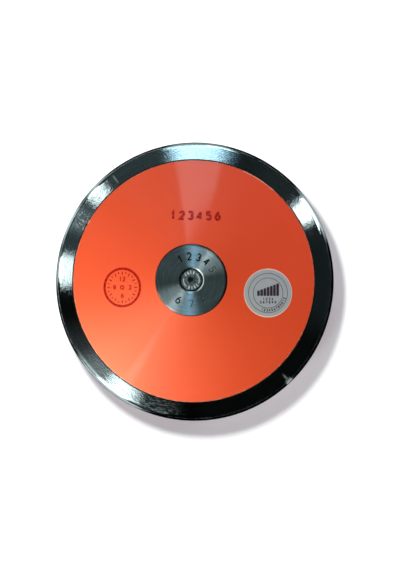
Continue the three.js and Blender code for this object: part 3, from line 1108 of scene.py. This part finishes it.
def vinyl_finish():
    vinyl, finish = material("sticker_vinyl")
    away = finish.vector("SUBTRACT", finish.place(), (*STICKER_CENTRE, 0.0))
    away = finish.vector("MULTIPLY", away, (1 / MM, 1 / MM, 0.0))
    distance = finish.vector("LENGTH", away, output="Value")
    waves = distance * 5.2
    waves = waves.math("SINE", waves) * 0.5 + 0.5
    grain = finish.noise(finish.place(), 260.0, 3.0)
    body = finish.mix(waves * 0.35 + grain * 0.5, VINYL, VINYL_SHADED)
    edge = distance.between(STICKER_RADIUS / MM - 1.1, STICKER_RADIUS / MM - 0.5)
    finish.surface(
        {
            "Base Color": finish.mix(edge, body, VINYL_EDGE),
            "Roughness": 0.30 + grain * 0.12,
            "IOR": 1.46,
            "Normal": finish.bump(grain, 0.01),
        }
    )
    return vinyl


def black_ink_finish():
    ink, finish = material("black_ink")
    worn = finish.noise(finish.place(), 800.0, 3.0, 0.6)
    finish.surface(
        {
            "Base Color": finish.mix(worn.between(0.45, 0.8), BLACK_INK, BLACK_INK_WORN),
            "Roughness": 0.3 + worn * 0.15,
            "IOR": 1.46,
            "Normal": finish.bump(worn, 0.008),
        }
    )
    return ink


dressed(made("front_sticker", sticker_vinyl()), vinyl_finish(), "sticker_vinyl")
dressed(made("front_sticker_print", sticker_printing()), black_ink_finish(), "print_ink")


# Studio: a plain pale floor whose own lamps leave a soft shadow at the lower right, a lamp from
# above, and a near and a side lamp, whose flags keep them off the floor and the steel. The rest
# of the light is a dark room with softboxes and strip lamps, which the polished steel mirrors.
FLOOR_SIZE = 30.0
FLOOR_COLOUR = (0.75, 0.75, 0.75, 1.0)
FLOOR_GLOW = (0.285, 0.248, 0.268, 1.0)
FLOOR_GLOW_FAR = (0.80, 0.80, 0.80, 1.0)
FLOOR_GLOW_REACH = (0.14, 0.24)
TOP_LAMP_ANGLES = (127, 37)
TOP_LAMP_STRENGTH = 2.26
TOP_LAMP_WIDTH = math.radians(10)
NO_LIGHT = (0.0, 0.0, 0.0, 1.0)
ROOM = (0.0036, 0.0042, 0.0034, 1.0)
HORIZON = (1.0, 1.0, 1.0, 1.0)
CEILING = (0.10, 0.135, 0.14, 1.0)
CEILING_ZENITH = 13
CEILING_FADE = 4
COOL = (0.72, 0.93, 1.0)
BLUE = (0.32, 0.66, 1.0)
WHITE = (0.95, 1.0, 1.0)
YELLOWISH = (1.0, 0.94, 0.50)
REDDISH = (1.0, 0.35, 0.45)
# Each round lamp: azimuth, zenith, distance, size, power, colour.
FLOOR_LAMPS = {
    "floor_lamp": (119.3, 25.7, 0.64, 0.13, 5.3, WHITE),
    "fill_lamp": (3, 67, 0.38, 0.10, 0.19, WHITE),
}
PLASTIC_LAMPS = {
    "near_lamp": (221, 60, 0.45, 0.18, 3.05, YELLOWISH),
    "side_lamp": (30, 72, 0.30, 0.10, 0.20, REDDISH),
}
# Each softbox: middle azimuth, half width, softness, zenith from, to, softness, colour, strength.
SOFTBOXES = (
    (96.7, 10.0, 1.2, 28.9, 80.0, 0.8, COOL, 2.35),
    (227.0, 7.1, 0.6, 31.5, 78.0, 1.5, WHITE, 5.0),
    (221.0, 12.0, 6.0, 33.0, 78.0, 3.0, WHITE, 1.0),
    (138.0, 34.0, 6.0, 20.0, 80.0, 6.0, COOL, 0.07),
    (152.0, 4.0, 3.0, 33.5, 60.0, 1.0, COOL, 0.2),
    (243.5, 8.0, 3.0, 30.0, 60.0, 4.0, WHITE, 0.48),
    (226.1, 2.4, 0.6, 28.0, 31.5, 1.6, WHITE, 2.1),
    (36.0, 54.0, 10.0, 20.0, 85.0, 8.0, COOL, 0.020),
    (208.0, 12.0, 8.0, 28.0, 80.0, 6.0, WHITE, 0.055),
    (60.0, 9.0, 8.0, 24.0, 60.0, 6.0, COOL, 0.016),
)
# Each strip lamp: azimuth, half width, zenith from, to, brightness, colour.
RIM_STRIPS = {
    "right_strip_low": (40.4, 4.7, 26.5, 50.0, 6.0, WHITE),
    "right_strip_high": (34.5, 9.0, 50.0, 88.0, 5.0, WHITE),
    "upper_strip_low": (95.0, 13.5, 32.0, 55.0, 1.1, BLUE),
    "upper_strip_high": (84.0, 6.0, 55.0, 86.0, 3.0, COOL),
    "upper_left_strip": (139.9, 3.8, 36.0, 78.0, 5.0, WHITE),
    "left_strip": (172.3, 6.2, 36.0, 78.0, 5.0, WHITE),
}
PLATE_STRIPS = {
    "lower_left_fan_strip": (229.0, 6.0, 42.0, 72.0, 3.8, WHITE),
    "left_fan_strip": (204.0, 11.0, 42.0, 72.0, 3.2, WHITE),
    "upper_fan_strip": (90.0, 8.0, 42.0, 72.0, 8.0, BLUE),
    "second_fan_strip": (78.0, 6.0, 42.0, 72.0, 2.4, COOL),
    "upper_left_fan_strip": (148.0, 40.0, 42.0, 76.0, 0.4, WHITE),
}
STRIP_DISTANCE = 3.0


def towards(azimuth, zenith):
    """The direction of a lamp, from its angles in degrees."""
    a, z = math.radians(azimuth), math.radians(zenith)
    return Vector((math.sin(z) * math.cos(a), math.sin(z) * math.sin(a), math.cos(z)))


def lamp(name, kind, azimuth, zenith, distance=1.0):
    """A lamp that shines on the middle of the discus."""
    data = bpy.data.lights.new(name, kind)
    source = bpy.data.objects.new(name, data)
    source.rotation_mode = "QUATERNION"
    source.rotation_quaternion = towards(azimuth, zenith).to_track_quat("Z", "Y")
    source.location = towards(azimuth, zenith) * distance
    bpy.context.scene.collection.objects.link(source)
    return source


def linked(name, pieces, state):
    """A group for a lamp that lights only these pieces, or all but these."""
    group = bpy.data.collections.new(name)
    for number, piece in enumerate(pieces):
        group.objects.link(piece)
        group.collection_objects[number].light_linking.link_state = state
    return group


def floor_finish():
    paper, finish = material("floor_paper")
    seen = finish.add("ShaderNodeLightPath", {}, {}, "Is Camera Ray")
    seen = seen.math("MAXIMUM", seen, finish.add("ShaderNodeLightPath", {}, {}, "Is Glossy Ray"))
    through = finish.add("ShaderNodeLightPath", {}, {}, "Is Transmission Ray")
    seen = seen.math("MAXIMUM", seen, through)
    away = finish.vector("LENGTH", finish.place(), output="Value")
    glow = finish.mix(away.between(*FLOOR_GLOW_REACH), FLOOR_GLOW, FLOOR_GLOW_FAR)
    finish.surface(
        {
            "Base Color": FLOOR_COLOUR,
            "Roughness": 1.0,
            "Specular IOR Level": 0.0,
            "Emission Color": finish.mix(seen, NO_LIGHT, glow),
            "Emission Strength": 1.0,
        }
    )
    return paper


def studio_room():
    world = bpy.data.worlds.new("studio_room")
    world.use_nodes = True
    bpy.context.scene.world = world
    finish = Finish(world.node_tree)
    direction = finish.add("ShaderNodeTexCoord", {}, {}, "Generated")
    height = finish.axis(direction, "Z")
    zenith = height.math("ARCCOSINE", height) * math.degrees(1)
    flat = finish.vector("NORMALIZE", finish.vector("MULTIPLY", direction, (1.0, 1.0, 0.0)))
    above = zenith.between(CEILING_ZENITH + CEILING_FADE, CEILING_ZENITH - CEILING_FADE)
    light = finish.mix(above, ROOM, CEILING)
    for azimuth, half_width, softness, low, high, fade, colour, strength in SOFTBOXES:
        mask = finish.sector(flat, azimuth, half_width, softness)
        mask = mask * zenith.between(low - fade, low + fade)
        mask = mask * zenith.between(high + fade, high - fade)
        shown = [part * strength for part in colour]
        glow = finish.mix(mask, NO_LIGHT, (*shown, 1.0))
        light = finish.mix(1.0, light, glow, "ADD")
    seen = finish.add("ShaderNodeLightPath", {}, {}, "Is Camera Ray")
    light = finish.mix(seen, light, HORIZON)
    background = finish.add("ShaderNodeBackground", {}, {"Color": light, "Strength": 1.0})
    finish.add("ShaderNodeOutputWorld", {}, {"Surface": background})


sheet = bmesh.new()
bmesh.ops.create_grid(sheet, x_segments=1, y_segments=1, size=FLOOR_SIZE / 2)
bmesh.ops.translate(sheet, verts=sheet.verts, vec=(0, 0, cad_box[0].z))
floor = made("floor", sheet)
floor.data.materials.append(floor_finish())
steel_pieces = (rim, front_centre, back_centre, front_screw, back_screw)
top_lamp = lamp("top_lamp", "SUN", *TOP_LAMP_ANGLES)
top_lamp.data.energy = TOP_LAMP_STRENGTH
top_lamp.data.angle = TOP_LAMP_WIDTH
top_lamp.visible_glossy = False
top_lamp.light_linking.receiver_collection = linked("kept_dark_by_top_flag", (floor,), "EXCLUDE")
for lamps, lit in (
    (FLOOR_LAMPS, linked("lit_by_floor_lamps", (floor,), "INCLUDE")),
    (PLASTIC_LAMPS, linked("kept_dark_by_flags", (floor, *steel_pieces), "EXCLUDE")),
):
    for name, (azimuth, zenith, distance, size, power, colour) in lamps.items():
        source = lamp(name, "AREA", azimuth, zenith, distance)
        source.data.shape = "DISK"
        source.data.size = size
        source.data.energy = power
        source.data.color = colour
        source.light_linking.receiver_collection = lit
for strips, lit in (
    (RIM_STRIPS, linked("lit_by_rim_strips", (rim,), "INCLUDE")),
    (PLATE_STRIPS, linked("lit_by_plate_strips", steel_pieces[1:], "INCLUDE")),
):
    for name, (azimuth, half_width, low, high, brightness, colour) in strips.items():
        strip = lamp(name, "AREA", azimuth, (low + high) / 2, STRIP_DISTANCE)
        reach = STRIP_DISTANCE * math.sin(math.radians(low))
        strip.data.shape = "RECTANGLE"
        strip.data.size = 2 * reach * math.tan(math.radians(half_width))
        strip.data.size_y = 2 * STRIP_DISTANCE * math.tan(math.radians((high - low) / 2))
        strip.data.energy = brightness * math.pi * strip.data.size * strip.data.size_y
        strip.data.color = colour
        strip.light_linking.receiver_collection = lit
studio_room()


# Camera: it looks almost straight down, tilted a little to the right and to the bottom of the
# picture, from an arm's length above the discus. The lens gives the discus its width there.
PICTURE_HEIGHT = 570
FOCAL_PIXELS = 1393.3
CAMERA_DISTANCE = 1.1
LEAN = Vector((0.0808, -0.0378, 1.0))
AIM = Vector((4.9 * MM, -3.03 * MM, 0.0))

camera_data = bpy.data.cameras.new("camera")
camera_data.lens = camera_data.sensor_width * FOCAL_PIXELS / PICTURE_HEIGHT
camera = bpy.data.objects.new("camera", camera_data)
bpy.context.scene.collection.objects.link(camera)
back = LEAN.normalized()
right = Vector((0, 1, 0)).cross(back).normalized()
axes = Matrix((right, back.cross(right), back)).transposed()
camera.matrix_world = Matrix.Translation(AIM + back * CAMERA_DISTANCE) @ axes.to_4x4()
bpy.context.scene.camera = camera
bpy.context.scene.view_settings.view_transform = "Standard"
